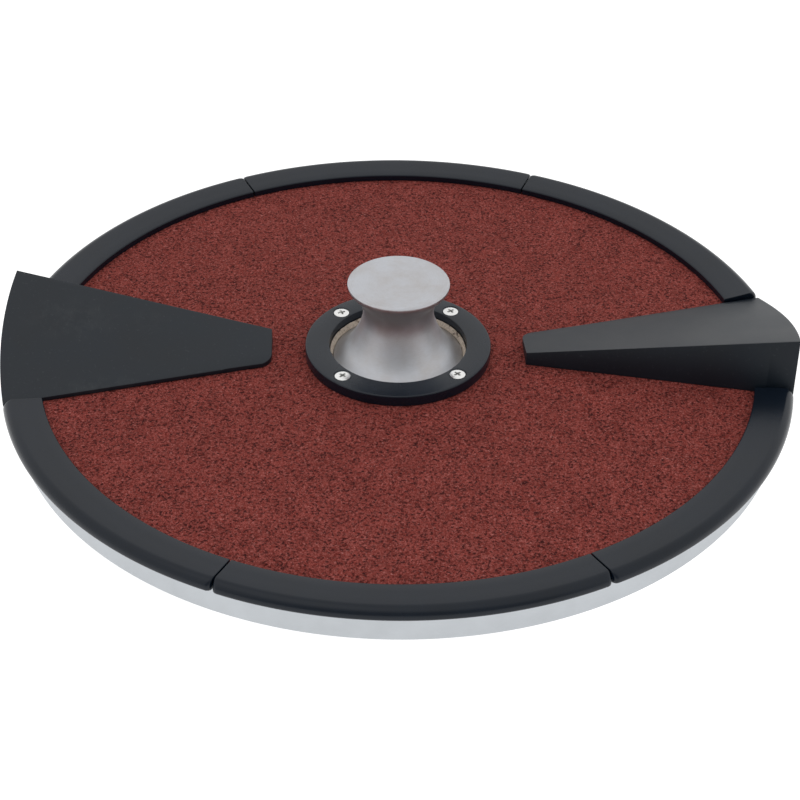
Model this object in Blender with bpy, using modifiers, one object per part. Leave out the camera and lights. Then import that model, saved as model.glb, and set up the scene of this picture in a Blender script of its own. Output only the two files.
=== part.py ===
# Abrasive turntable: a round abrasive wheel with two raised ramps and a lifting knob,
# carried by a drive spindle in a low base. Metres, +Z up, base underside at z = 0.
import math

import bmesh
import bpy
from mathutils import Matrix

MM = 0.001

# ---------------------------------------------------------------- main sizes (mm)
WHEEL_RADIUS = 200.0        # outside of the edge trim
MAT_TOP = 18.0              # height of the abrasive surface above the table
GAP = 0.3                   # clearance kept between pieces that touch

# heights below are measured from the abrasive surface (0 = top of the mat)
MAT_THICKNESS = 3.0
MAT_OUTER = 185.7
MAT_INNER = 37.5

PLATE_RIM_TOP = -0.8
PLATE_RIM_INNER = 186.1
PLATE_FLOOR = -3.3
PLATE_UNDERSIDE = -6.3
PLATE_OUTER = 194.8
SKIRT_INNER = 193.0
SKIRT_BOTTOM = -16.0
PLATE_BORE = 26.6

TRIM_INNER = 180.5
TRIM_TOP_INNER = 3.7
TRIM_ARC_RADIUS = 4.5
TRIM_ARC_CENTRE = (195.5, 0.8)
TRIM_SLOPE = 6.3            # degrees, rising outwards
TRIM_JOINT = 25.8           # degrees from the Y axis to each trim joint
TRIM_JOINT_GAP = 0.12       # degrees, half the gap between two segments
TRIM_STEPS = 14

RAMP_INNER_X = 64.5
RAMP_OUTER = 199.6
RAMP_HALF_INNER = 13.1      # half width at the inner end
RAMP_HALF_OUTER = 43.5      # half width at the outer end
RAMP_RIDGE_INNER = 6.9
RAMP_RIDGE_OUTER = 28.7
RAMP_LOW_EDGE = 2.4
RAMP_LEAN_INNER = 0.6       # how far the steep face leans back at the ridge
RAMP_LEAN_OUTER = 6.0
RAMP_CORNER = 8.0
RAMP_OUTER_X = math.sqrt(RAMP_OUTER ** 2 - RAMP_HALF_OUTER ** 2)
RAMP_CLEAR = 12.9           # degrees from the X axis to the ends of the trim
RAMP_COLUMNS = 12

RING_OUTER = 47.4
RING_INNER = 35.1
RING_TOP = 6.0
RING_SCREW_CIRCLE = 40.5

GASKET_INNER = 33.3
GASKET_OUTER = 34.8
GASKET_TOP_OUTER = 2.0
GASKET_TOP_INNER = -0.4

KNOB_FOOT = 33.0
KNOB_CAP = 25.6
KNOB_TOP = 42.7
KNOB_SCREW_CIRCLE = 29.6

RIM_SCREW_CIRCLE = 189.2
RIM_SCREW_SPREAD = 17.0     # degrees each side of a segment's middle
RAMP_SCREWS = ((95.0, -4.0), (160.0, -6.0))

# heights below are measured from the table
BASE_RADIUS = 105.0
BASE_TOP = 5.0
HOUSING_RADIUS = 19.5
HOUSING_TOP = 22.0
JOURNAL_RADIUS = 6.0
RUNNING_CLEARANCE = 0.1
SPINDLE_RADIUS = 8.0
SPINDLE_TOP = 46.5
SHOULDER = 25.6
PIN_RADIUS = 2.5
PIN_HALF_LENGTH = 10.5
PIN_HEIGHT = 29.5


# ---------------------------------------------------------------- helpers
def up(height):
    """Height above the table, in mm, of a height given from the abrasive surface."""
    return MAT_TOP + height


def material(name, colour, roughness, metallic=0.0):
    mat = bpy.data.materials.new(name)
    mat.use_nodes = True
    shader = mat.node_tree.nodes["Principled BSDF"]
    shader.inputs["Base Color"].default_value = (*colour, 1.0)
    shader.inputs["Roughness"].default_value = roughness
    shader.inputs["Metallic"].default_value = metallic
    mat.diffuse_color = (*colour, 1.0)
    return mat


def add_object(name, mesh, mat, parent=None, collection=None):
    obj = bpy.data.objects.new(name, mesh)
    (collection or parts).objects.link(obj)
    if mat is not None and not mesh.materials:
        mesh.materials.append(mat)
    obj.parent = parent
    return obj


def smooth(obj, angle=35.0):
    obj.data.shade_smooth()
    obj.data.set_sharp_from_angle(angle=math.radians(angle))


def profile_mesh(name, points, closed):
    """A profile in the XZ plane, in mm. It runs down its outer side."""
    bm = bmesh.new()
    verts = [bm.verts.new((r * MM, 0.0, z * MM)) for r, z in points]
    for first, second in zip(verts, verts[1:]):
        bm.edges.new((first, second))
    if closed:
        bm.edges.new((verts[-1], verts[0]))
    mesh = bpy.data.meshes.new(name)
    bm.to_mesh(mesh)
    bm.free()
    return mesh


def turned(name, points, steps, mat, parent=None, closed=True):
    """A turned piece: a profile and a Screw modifier about the Z axis."""
    obj = add_object(name, profile_mesh(name, points, closed), mat, parent)
    screw = obj.modifiers.new("turn", "SCREW")
    screw.axis = "Z"
    screw.angle = math.tau
    screw.steps = steps
    screw.render_steps = steps
    screw.use_merge_vertices = True
    screw.merge_threshold = 0.00001
    screw.use_smooth_shade = True
    return obj


def cylinders(name, positions, radius, bottom, top, sides):
    """Cutter made of upright cylinders, in mm above the table."""
    bm = bmesh.new()
    for x, y in positions:
        place = Matrix.Translation((x * MM, y * MM, (bottom + top) * 0.5 * MM))
        bmesh.ops.create_cone(
            bm, cap_ends=True, segments=sides, radius1=radius * MM,
            radius2=radius * MM, depth=(top - bottom) * MM, matrix=place)
    mesh = bpy.data.meshes.new(name)
    bm.to_mesh(mesh)
    bm.free()
    return as_cutter(name, mesh)


def as_cutter(name, mesh):
    obj = add_object(name, mesh, None, collection=cutters)
    obj.hide_render = True
    obj.display_type = "WIRE"
    return obj


def cut(obj, *tools):
    for tool in tools:
        boolean = obj.modifiers.new(tool.name, "BOOLEAN")
        boolean.operation = "DIFFERENCE"
        boolean.solver = "EXACT"
        boolean.object = tool


def on_circle(radius, angles):
    return [(radius * math.cos(math.radians(a)), radius * math.sin(math.radians(a)))
            for a in angles]


def arc(centre, radius, start, end, steps):
    """Points of an arc in a profile, angles in degrees."""
    points = []
    for i in range(steps + 1):
        a = math.radians(start + (end - start) * i / steps)
        points.append((centre[0] + radius * math.cos(a), centre[1] + radius * math.sin(a)))
    return points


def loft(name, rings):
    """Closed solid through rings of equal length, with both end rings filled."""
    bm = bmesh.new()
    rows = [[bm.verts.new((x * MM, y * MM, z * MM)) for x, y, z in ring] for ring in rings]
    count = len(rows[0])
    for near, far in zip(rows, rows[1:]):
        for i in range(count):
            j = (i + 1) % count
            bm.faces.new((near[i], near[j], far[j], far[i]))
    bm.faces.new(list(reversed(rows[0])))
    bm.faces.new(rows[-1])
    bmesh.ops.recalc_face_normals(bm, faces=bm.faces)
    mesh = bpy.data.meshes.new(name)
    bm.to_mesh(mesh)
    bm.free()
    return mesh


# ---------------------------------------------------------------- scene
for old in list(bpy.data.objects):
    bpy.data.objects.remove(old, do_unlink=True)

parts = bpy.data.collections.new("abrasive_turntable")
cutters = bpy.data.collections.new("cutters")
bpy.context.scene.collection.children.link(parts)
bpy.context.scene.collection.children.link(cutters)

spindle_axis = bpy.data.objects.new("spindle_axis", None)
wheel_axis = bpy.data.objects.new("wheel_axis", None)
for empty in (spindle_axis, wheel_axis):
    empty.empty_display_size = 0.02
    parts.objects.link(empty)
wheel_axis.parent = spindle_axis

abrasive = material("abrasive_mat", (0.19, 0.042, 0.040), 0.92)
black_polymer = material("black_polymer", (0.022, 0.026, 0.031), 0.42)
ramp_polymer = material("ramp_polymer", (0.026, 0.031, 0.036), 0.52)
ring_polymer = material("ring_polymer", (0.020, 0.023, 0.028), 0.35)
plate_metal = material("plate_metal", (0.62, 0.64, 0.67), 0.38, 1.0)
knob_metal = material("knob_metal", (0.60, 0.60, 0.60), 0.34, 1.0)
screw_steel = material("screw_steel", (0.72, 0.72, 0.70), 0.25, 1.0)
gasket_fibre = material("gasket_fibre", (0.36, 0.29, 0.22), 0.85)
spindle_steel = material("spindle_steel", (0.50, 0.51, 0.52), 0.28, 1.0)
bronze = material("bush_bronze", (0.52, 0.36, 0.17), 0.35, 1.0)
cast_base = material("cast_base", (0.20, 0.21, 0.22), 0.55, 0.6)
foot_rubber = material("foot_rubber", (0.03, 0.03, 0.03), 0.8)

# ---------------------------------------------------------------- shared holes
segment_middles = (90.0, 270.0)
side_middle = 0.5 * (RAMP_CLEAR + 90.0 - TRIM_JOINT)
side_middles = (side_middle, 180.0 - side_middle, 180.0 + side_middle, 360.0 - side_middle)
rim_angles = [m + s * RIM_SCREW_SPREAD
              for m in (*segment_middles, *side_middles) for s in (-1.0, 1.0)]
rim_points = on_circle(RIM_SCREW_CIRCLE, rim_angles)
ramp_points = [(s * x, s * y) for s in (1.0, -1.0) for x, y in RAMP_SCREWS]
ring_points = on_circle(RING_SCREW_CIRCLE, (45.0, 135.0, 225.0, 315.0))
knob_points = on_circle(KNOB_SCREW_CIRCLE, (0.0, 90.0, 180.0, 270.0))

rim_holes = cylinders("cut_rim_holes", rim_points, 2.05, up(-7.3), up(2.3), 12)
ramp_holes = cylinders("cut_ramp_holes", ramp_points, 2.3, up(-7.3), up(5.0), 12)
ring_holes = cylinders("cut_ring_holes", ring_points, 2.3, up(-7.3), up(7.0), 16)
knob_holes = cylinders("cut_knob_holes", knob_points, 2.3, up(-7.3), up(-0.6), 12)

# ---------------------------------------------------------------- wheel: plate and mat
plate_profile = [
    (PLATE_OUTER - 0.8, up(PLATE_RIM_TOP)),
    (PLATE_OUTER, up(PLATE_RIM_TOP - 0.8)),
    (PLATE_OUTER, up(SKIRT_BOTTOM + 0.8)),
    (PLATE_OUTER - 0.8, up(SKIRT_BOTTOM)),
    (SKIRT_INNER + 0.8, up(SKIRT_BOTTOM)),
    (SKIRT_INNER, up(SKIRT_BOTTOM + 0.8)),
    (SKIRT_INNER, up(PLATE_UNDERSIDE)),
    (PLATE_BORE, up(PLATE_UNDERSIDE)),
    (PLATE_BORE, up(PLATE_FLOOR)),
    (PLATE_RIM_INNER, up(PLATE_FLOOR)),
    (PLATE_RIM_INNER, up(PLATE_RIM_TOP)),
]
carrier_plate = turned("carrier_plate", plate_profile, 72, plate_metal, wheel_axis)
cut(carrier_plate, rim_holes, ramp_holes, ring_holes, knob_holes)

mat_profile = [
    (MAT_OUTER, up(0.0)),
    (MAT_OUTER, up(-MAT_THICKNESS)),
    (MAT_INNER, up(-MAT_THICKNESS)),
    (MAT_INNER, up(0.0)),
]
abrasive_mat = turned("abrasive_mat", mat_profile, 72, abrasive, wheel_axis)
cut(abrasive_mat, ramp_holes, ring_holes)

# ---------------------------------------------------------------- wheel: edge trim
trim_section = [(TRIM_INNER + 0.5, TRIM_TOP_INNER)]
trim_section += arc(TRIM_ARC_CENTRE, TRIM_ARC_RADIUS, 90.0 + TRIM_SLOPE, 0.0, 5)
trim_section += [
    (WHEEL_RADIUS - 0.4, 0.0),
    (WHEEL_RADIUS - 1.2, PLATE_RIM_TOP + GAP),
    (PLATE_RIM_INNER + 0.3, PLATE_RIM_TOP + GAP),
    (PLATE_RIM_INNER - 0.1, GAP),
    (TRIM_INNER, GAP),
    (TRIM_INNER, TRIM_TOP_INNER - 0.5),
]


def trim_mesh(name, span):
    """Trim segment about the X axis, spanning the given angle in degrees."""
    rings = []
    for i in range(TRIM_STEPS + 1):
        a = math.radians(-span * 0.5 + span * i / TRIM_STEPS)
        rings.append([(r * math.cos(a), r * math.sin(a), up(z)) for r, z in trim_section])
    return loft(name, rings)


end_span = 2.0 * (TRIM_JOINT - TRIM_JOINT_GAP)
side_span = 90.0 - TRIM_JOINT - TRIM_JOINT_GAP - RAMP_CLEAR
end_mesh = trim_mesh("end_trim", end_span)
side_mesh = trim_mesh("side_trim", side_span)
side_shift = -0.5 * TRIM_JOINT_GAP
trim_layout = (
    ("trim_back", end_mesh, 90.0),
    ("trim_front", end_mesh, 270.0),
    ("trim_back_right", side_mesh, side_middle + side_shift),
    ("trim_back_left", side_mesh, 180.0 - side_middle - side_shift),
    ("trim_front_left", side_mesh, 180.0 + side_middle + side_shift),
    ("trim_front_right", side_mesh, 360.0 - side_middle - side_shift),
)
for name, mesh, middle in trim_layout:
    segment = add_object(name, mesh, black_polymer, wheel_axis)
    segment.rotation_euler.z = math.radians(middle)
    smooth(segment)
    cut(segment, rim_holes)


# ---------------------------------------------------------------- wheel: ramps
def ramp_line(t):
    """Inner point and outer point of the plan line at t, from steep side 0 to low side 1."""
    inner_y = RAMP_HALF_INNER * (2.0 * t - 1.0)
    outer_y = RAMP_HALF_OUTER * (2.0 * t - 1.0)
    past = max(0.0, inner_y - (RAMP_HALF_INNER - RAMP_CORNER))
    inner_x = RAMP_INNER_X + RAMP_CORNER - math.sqrt(RAMP_CORNER ** 2 - past ** 2)
    outer_x = math.sqrt(RAMP_OUTER ** 2 - outer_y ** 2)
    return (inner_x, inner_y), (outer_x, outer_y)


def along(x, inner, outer):
    """Value at x that runs evenly from a ramp's inner end to its outer end."""
    return inner + (outer - inner) * (x - RAMP_INNER_X) / (RAMP_OUTER_X - RAMP_INNER_X)


def ramp_point(t, radius):
    """Point of plan line t at a distance from the wheel's axis; None is its inner end."""
    (x0, y0), (x1, y1) = ramp_line(t)
    if radius is None:
        return x0, y0
    dx, dy = x1 - x0, y1 - y0
    a = dx * dx + dy * dy
    b = x0 * dx + y0 * dy
    c = x0 * x0 + y0 * y0 - radius * radius
    s = (-b + math.sqrt(b * b - a * c)) / a
    return x0 + s * dx, y0 + s * dy


def ramp_height(t, x):
    ridge = along(x, RAMP_RIDGE_INNER, RAMP_RIDGE_OUTER)
    return ridge + (RAMP_LOW_EDGE - ridge) * t


def ramp_ring(radius, sole):
    """One closed section of a ramp: the sole outwards, then the slope back to the ridge."""
    ring = []
    for i in range(RAMP_COLUMNS + 1):
        x, y = ramp_point(i / RAMP_COLUMNS, radius)
        ring.append((x, y, up(sole)))
    for i in range(RAMP_COLUMNS, -1, -1):
        t = i / RAMP_COLUMNS
        x, y = ramp_point(t, radius)
        height = ramp_height(t, x)
        leant = y + (1.0 - t) * along(x, RAMP_LEAN_INNER, RAMP_LEAN_OUTER)
        ring.append((math.sqrt(x * x + y * y - leant * leant), leant, up(height)))
    return ring


ramp_stations = (
    (None, GAP), (105.0, GAP), (145.0, GAP), (PLATE_RIM_INNER - 0.1, GAP),
    (PLATE_RIM_INNER + 0.3, PLATE_RIM_TOP + GAP), (RAMP_OUTER - 1.6, PLATE_RIM_TOP + GAP),
    (RAMP_OUTER, 0.8),
)
ramp_mesh = loft("ramp", [ramp_ring(radius, sole) for radius, sole in ramp_stations])
for name, turn in (("ramp_right", 0.0), ("ramp_left", math.pi)):
    ramp = add_object(name, ramp_mesh, ramp_polymer, wheel_axis)
    ramp.rotation_euler.z = turn
    smooth(ramp, 25.0)
    cut(ramp, ramp_holes)

# ---------------------------------------------------------------- wheel: clamp ring and gasket
ring_profile = [
    (RING_OUTER - 1.0, up(RING_TOP)),
    (RING_OUTER - 0.3, up(RING_TOP - 0.3)),
    (RING_OUTER, up(RING_TOP - 1.0)),
    (RING_OUTER, up(GAP)),
    (RING_INNER, up(GAP)),
    (RING_INNER, up(RING_TOP - 0.6)),
    (RING_INNER + 0.6, up(RING_TOP)),
]
clamp_ring = turned("clamp_ring", ring_profile, 48, ring_polymer, wheel_axis)

countersink_mesh = bmesh.new()
for x, y in ring_points:
    bmesh.ops.create_cone(
        countersink_mesh, cap_ends=True, segments=16, radius1=2.0 * MM, radius2=5.0 * MM,
        depth=3.0 * MM, matrix=Matrix.Translation((x * MM, y * MM, up(4.9) * MM)))
countersinks = bpy.data.meshes.new("cut_countersinks")
countersink_mesh.to_mesh(countersinks)
countersink_mesh.free()
cut(clamp_ring, ring_holes, as_cutter("cut_countersinks", countersinks))

gasket_profile = [
    (GASKET_OUTER, up(GASKET_TOP_OUTER)),
    (GASKET_OUTER, up(PLATE_FLOOR + GAP)),
    (GASKET_INNER, up(PLATE_FLOOR + GAP)),
    (GASKET_INNER, up(GASKET_TOP_INNER)),
]
turned("hub_gasket", gasket_profile, 48, gasket_fibre, wheel_axis)

# ---------------------------------------------------------------- wheel: knob and its socket
knob_outside = [
    (0.0, KNOB_TOP), (KNOB_CAP - 0.7, KNOB_TOP), (KNOB_CAP - 0.2, KNOB_TOP - 0.2),
    (KNOB_CAP, KNOB_TOP - 0.7), (KNOB_CAP, 40.8), (25.1, 39.5), (23.9, 38.0), (22.2, 36.2),
    (20.4, 34.0), (19.0, 31.4), (18.1, 28.2), (17.9, 24.6), (18.5, 20.8), (19.8, 16.9),
    (21.5, 12.9), (23.5, 9.0), (26.0, 5.2), (28.9, 2.1), (31.2, 0.3), (KNOB_FOOT, -0.7),
    (KNOB_FOOT, PLATE_FLOOR + GAP),
]
knob_inside = [
    (21.5, PLATE_FLOOR + GAP), (21.5, 5.4), (12.8, 11.6), (12.8, 30.6), (0.0, 30.6),
]
knob_profile = [(r, up(z)) for r, z in knob_outside + knob_inside]
lifting_knob = turned("lifting_knob", knob_profile, 40, knob_metal, wheel_axis, closed=False)
cut(lifting_knob, knob_holes)

socket_profile = [
    (0.0, 48.2), (12.5, 48.2), (12.5, 26.0), (SPINDLE_RADIUS + 0.15, 26.0),
    (SPINDLE_RADIUS + 0.15, SPINDLE_TOP + GAP), (0.0, SPINDLE_TOP + GAP),
]
drive_socket = turned("drive_socket", socket_profile, 32, spindle_steel, wheel_axis,
                      closed=False)
slot_cutter = bmesh.new()
slot_size = Matrix.Diagonal((30.0 * MM, 5.8 * MM, 12.0 * MM, 1.0))
slot_place = Matrix.Translation((0.0, 0.0, (PIN_HEIGHT + PIN_RADIUS + GAP - 6.0) * MM))
bmesh.ops.create_cube(slot_cutter, size=1.0, matrix=slot_place @ slot_size)
slot_mesh = bpy.data.meshes.new("cut_drive_slot")
slot_cutter.to_mesh(slot_mesh)
slot_cutter.free()
cut(drive_socket, as_cutter("cut_drive_slot", slot_mesh))

# ---------------------------------------------------------------- wheel: ring screws and nuts
cross_cutter = bmesh.new()
for x, y in ring_points:
    for turn in (0.0, 90.0):
        place = Matrix.Translation((x * MM, y * MM, up(RING_TOP + 0.3) * MM))
        spin = Matrix.Rotation(math.radians(turn + 12.0), 4, "Z")
        size = Matrix.Diagonal((4.8 * MM, 1.0 * MM, 3.2 * MM, 1.0))
        bmesh.ops.create_cube(cross_cutter, size=1.0, matrix=place @ spin @ size)
cross_mesh = bpy.data.meshes.new("cut_cross_recess")
cross_cutter.to_mesh(cross_mesh)
cross_cutter.free()
cross_recess = as_cutter("cut_cross_recess", cross_mesh)

ring_screw_profile = [
    (0.0, RING_TOP - 0.1), (3.9, RING_TOP - 0.1), (4.0, RING_TOP - 0.3),
    (2.0, RING_TOP - 2.3), (2.0, -8.9), (1.6, -9.3), (0.0, -9.3),
]
for number, (x, y) in enumerate(ring_points, 1):
    screw = turned(f"ring_screw_{number}", ring_screw_profile, 16, screw_steel,
                   wheel_axis, closed=False)
    screw.location = (x * MM, y * MM, MAT_TOP * MM)
    recess = screw.modifiers.new("cross", "BOOLEAN")
    recess.operation = "DIFFERENCE"
    recess.solver = "EXACT"
    recess.use_self = True
    recess.object = cross_recess

    nut_bm = bmesh.new()
    bmesh.ops.create_cone(nut_bm, cap_ends=True, segments=6, radius1=4.04 * MM,
                          radius2=4.04 * MM, depth=2.6 * MM)
    nut_mesh = bpy.data.meshes.new(f"ring_nut_{number}")
    nut_bm.to_mesh(nut_mesh)
    nut_bm.free()
    nut = add_object(f"ring_nut_{number}", nut_mesh, screw_steel, wheel_axis)
    nut.location = (x * MM, y * MM, up(-7.9) * MM)
nut_bores = cylinders("cut_nut_bores", ring_points, 2.3, up(-12.0), up(-5.0), 16)
for number in range(1, len(ring_points) + 1):
    cut(bpy.data.objects[f"ring_nut_{number}"], nut_bores)


# ---------------------------------------------------------------- wheel: screws from below
def pan_screws(prefix, positions, shank, tip):
    """Pan-head screws driven up through the plate, head under the plate."""
    head = PLATE_UNDERSIDE - GAP
    profile = [
        (0.0, tip), (shank, tip), (shank, head),
        (3.5, head), (3.5, head - 1.2), (2.4, head - 2.0), (0.0, head - 2.0),
    ]
    for number, (x, y) in enumerate(positions, 1):
        screw = turned(f"{prefix}_{number}", profile, 10, screw_steel, wheel_axis,
                       closed=False)
        screw.location = (x * MM, y * MM, MAT_TOP * MM)


pan_screws("trim_screw", rim_points, 1.75, 2.0)
pan_screws("ramp_screw", ramp_points, 2.0, 4.7)
pan_screws("knob_screw", knob_points, 2.0, -0.9)

# ---------------------------------------------------------------- base
base_profile = [
    (HOUSING_RADIUS - 0.6, HOUSING_TOP), (HOUSING_RADIUS, HOUSING_TOP - 0.6),
    (HOUSING_RADIUS, 8.5), (20.6, 6.6), (23.0, 5.8), (BASE_RADIUS - 8.0, BASE_TOP),
    (BASE_RADIUS - 1.0, 4.2), (BASE_RADIUS, 3.2), (BASE_RADIUS, 1.5), (104.2, 1.5),
    (104.2, 2.5), (93.8, 2.5), (93.8, 1.5), (14.0, 1.5), (14.0, 5.3), (10.3, 5.3),
    (10.3, HOUSING_TOP),
]
turned("base_housing", base_profile, 48, cast_base)

foot_profile = [
    (103.6, 2.2), (103.6, 0.4), (103.2, 0.0), (94.4, 0.0), (94.4, 2.2),
]
turned("foot_ring", foot_profile, 48, foot_rubber)

bore = JOURNAL_RADIUS + RUNNING_CLEARANCE
lower_bush_profile = [
    (10.0, 11.0), (10.0, 5.0), (13.4, 5.0), (13.4, 3.8), (bore, 3.8), (bore, 11.0),
]
turned("lower_bush", lower_bush_profile, 32, bronze)

upper_bush_profile = [
    (13.6, 23.8), (13.6, HOUSING_TOP + GAP), (10.0, HOUSING_TOP + GAP), (10.0, 13.0),
    (bore, 13.0), (bore, 23.8),
]
turned("upper_bush", upper_bush_profile, 32, bronze)

# ---------------------------------------------------------------- spindle
spindle_profile = [
    (0.0, SPINDLE_TOP), (SPINDLE_RADIUS - 1.2, SPINDLE_TOP),
    (SPINDLE_RADIUS, SPINDLE_TOP - 1.2), (SPINDLE_RADIUS, SHOULDER),
    (JOURNAL_RADIUS, SHOULDER), (JOURNAL_RADIUS, 3.5), (5.2, 3.5), (5.2, 2.0),
    (JOURNAL_RADIUS, 2.0), (JOURNAL_RADIUS - 0.4, 1.2), (0.0, 1.2),
]
drive_spindle = turned("drive_spindle", spindle_profile, 32, spindle_steel, spindle_axis,
                       closed=False)

pin_hole_bm = bmesh.new()
across = Matrix.Translation((0.0, 0.0, PIN_HEIGHT * MM)) @ Matrix.Rotation(
    math.pi * 0.5, 4, "Y")
bmesh.ops.create_cone(pin_hole_bm, cap_ends=True, segments=16,
                      radius1=(PIN_RADIUS + 0.1) * MM, radius2=(PIN_RADIUS + 0.1) * MM,
                      depth=24.0 * MM, matrix=across)
pin_hole = bpy.data.meshes.new("cut_pin_hole")
pin_hole_bm.to_mesh(pin_hole)
pin_hole_bm.free()
cut(drive_spindle, as_cutter("cut_pin_hole", pin_hole))

pin_bm = bmesh.new()
bmesh.ops.create_cone(pin_bm, cap_ends=True, segments=16, radius1=PIN_RADIUS * MM,
                      radius2=PIN_RADIUS * MM, depth=2.0 * PIN_HALF_LENGTH * MM)
pin_mesh = bpy.data.meshes.new("drive_pin")
pin_bm.to_mesh(pin_mesh)
pin_bm.free()
drive_pin = add_object("drive_pin", pin_mesh, spindle_steel, spindle_axis)
drive_pin.location.z = PIN_HEIGHT * MM
drive_pin.rotation_euler.y = math.pi * 0.5

washer_profile = [(13.0, 25.3), (13.0, 24.1), (6.3, 24.1), (6.3, 25.3)]
turned("thrust_washer", washer_profile, 32, spindle_steel, spindle_axis)

clip_profile = [(8.8, 3.3), (8.8, 2.2), (5.5, 2.2), (5.5, 3.3)]
retaining_clip = turned("retaining_clip", clip_profile, 32, spindle_steel, spindle_axis)
clip_slot_bm = bmesh.new()
clip_slot_place = Matrix.Translation((0.0, -8.0 * MM, 2.75 * MM))
clip_slot_size = Matrix.Diagonal((3.0 * MM, 8.0 * MM, 4.0 * MM, 1.0))
bmesh.ops.create_cube(clip_slot_bm, size=1.0, matrix=clip_slot_place @ clip_slot_size)
clip_slot = bpy.data.meshes.new("cut_clip_slot")
clip_slot_bm.to_mesh(clip_slot)
clip_slot_bm.free()
cut(retaining_clip, as_cutter("cut_clip_slot", clip_slot))
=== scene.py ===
# Looks of the abrasive turntable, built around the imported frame. Metres, +Z up.
import math

import bmesh
import bpy
import numpy as np
from mathutils import Matrix, Vector


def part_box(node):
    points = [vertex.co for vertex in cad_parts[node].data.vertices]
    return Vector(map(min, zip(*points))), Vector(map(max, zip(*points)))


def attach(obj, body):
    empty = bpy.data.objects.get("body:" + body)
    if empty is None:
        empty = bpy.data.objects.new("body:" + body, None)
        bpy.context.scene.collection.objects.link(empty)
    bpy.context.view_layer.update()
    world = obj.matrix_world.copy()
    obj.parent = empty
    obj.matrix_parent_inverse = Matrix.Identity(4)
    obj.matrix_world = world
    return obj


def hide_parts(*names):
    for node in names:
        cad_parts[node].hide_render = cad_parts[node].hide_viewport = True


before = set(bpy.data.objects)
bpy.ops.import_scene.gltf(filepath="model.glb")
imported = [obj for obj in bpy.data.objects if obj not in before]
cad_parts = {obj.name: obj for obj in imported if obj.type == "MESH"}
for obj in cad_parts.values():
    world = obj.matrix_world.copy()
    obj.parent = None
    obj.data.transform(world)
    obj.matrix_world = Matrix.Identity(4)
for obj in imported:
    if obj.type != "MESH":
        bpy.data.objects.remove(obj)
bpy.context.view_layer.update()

MM = 0.001
MAT_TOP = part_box("abrasive_mat")[1][2] / MM     # height of the abrasive surface, mm
PLATE_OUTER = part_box("carrier_plate")[1][0] / MM
RING_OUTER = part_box("clamp_ring")[1][0] / MM

# Sizes in mm. Heights are measured from the abrasive surface.
GAP = 0.3                    # clearance kept between pieces that touch
WHEEL_RADIUS = 200.0         # outside of the edge trim

PLATE_RIM_TOP = -0.8
PLATE_RIM_INNER = 186.1
PLATE_FLOOR = -3.3
PLATE_UNDERSIDE = -6.3
PLATE_BORE = 26.6
SKIRT_INNER = 193.0
SKIRT_BOTTOM = -16.0
SEAT = PLATE_FLOOR + GAP     # underside of what stands on the plate's floor

HOLE_BOTTOM = -7.3           # screw holes are cut from below the plate
SCREW_HOLE = 2.3             # radius of the ramp, ring and knob screws' holes
TRIM_SCREW_HOLE = 2.05
RIM_SCREW_CIRCLE = 189.2
RIM_SCREW_SPREAD = 17.0      # degrees each side of a segment's middle
RAMP_SCREWS = ((95.0, -4.0), (160.0, -6.0))
RING_SCREW_CIRCLE = 40.5
KNOB_SCREW_CIRCLE = 29.6

MAT_INNER = 37.6
MAT_OUTER = 185.6

TRIM_INNER = 180.5
TRIM_SLOPE = 6.3             # degrees, rising outwards
TRIM_JOINT = 25.8            # degrees from the Y axis to each trim joint
TRIM_JOINT_GAP = 0.12        # degrees, half the gap between two segments
TRIM_MIDDLE = 190.0          # radius at which lengths along a segment are measured
TRIM_BLEND_START = 193.0     # the outer side's rounding grows from this radius
TRIM_BLEND_WIDTH = 6.0
TRIM_BULGE = 0.25            # how far a segment's middle stands out past its ends
TRIM_END_CORNER = 0.25
TRIM_OUTER_CORNER = 2.2

RAMP_INNER_X = 64.5
RAMP_OUTER_X = 194.8
RAMP_OUTER = 199.6
RAMP_HALF_INNER = 13.1       # half width at the inner end
RAMP_HALF_OUTER = 43.5       # half width at the outer end
RAMP_CORNER = 8.0
RAMP_RIDGE_INNER = 6.9
RAMP_RIDGE_OUTER = 28.7
RAMP_LOW_EDGE = 2.4
RAMP_LEAN_INNER = 0.6        # how far the steep face leans back at the ridge
RAMP_LEAN_OUTER = 6.0
RAMP_CLEAR = 12.9            # degrees from the X axis to the ends of the trim
RAMP_COLUMNS = 40
RAMP_EDGE_ROUND = 0.8

RING_INNER = 35.1
RING_TOP = 6.0
RING_HOLE_TOP = 7.0

GASKET_INNER = 33.3
GASKET_OUTER = 34.8
GASKET_TOP = 2.0

KNOB_TOP = 42.65
KNOB_FOOT = 33.0
KNOB_RIM_ROUND = 0.4
KNOB_HOLE_TOP = -0.6

SLOT_LENGTH = (2.8, 5.4)     # screw's cross recess, at its bottom and its top
SLOT_WIDTH = (0.9, 1.4)
SLOT_DEPTH = 4.0
SLOT_MIDDLE = 6.3
RING_SCREW_TURNS = (33.0, 20.0, 48.0, 38.0)     # degrees, as the crosses stand

# Socket numbers of a Mix node that mixes colours.
MIX_FACTOR, MIX_FIRST, MIX_SECOND, MIX_RESULT = 0, 6, 7, 2


# ------------------------------------------------------------------ helpers
def up(height):
    return MAT_TOP + height


def make_object(name, mesh, mat, nodes=(), body="wheel"):
    obj = bpy.data.objects.new(name, mesh)
    bpy.context.scene.collection.objects.link(obj)
    mesh.materials.clear()
    mesh.materials.append(mat)
    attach(obj, body)
    if nodes:
        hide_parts(*nodes)
    return obj


def smooth(mesh, angle=32.0):
    mesh.shade_smooth()
    mesh.set_sharp_from_angle(angle=math.radians(angle))


def to_mesh(name, verts, faces):
    mesh = bpy.data.meshes.new(name)
    mesh.from_pydata([tuple(v) for v in verts], [], [tuple(f) for f in faces])
    mesh.update()
    return mesh


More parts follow.
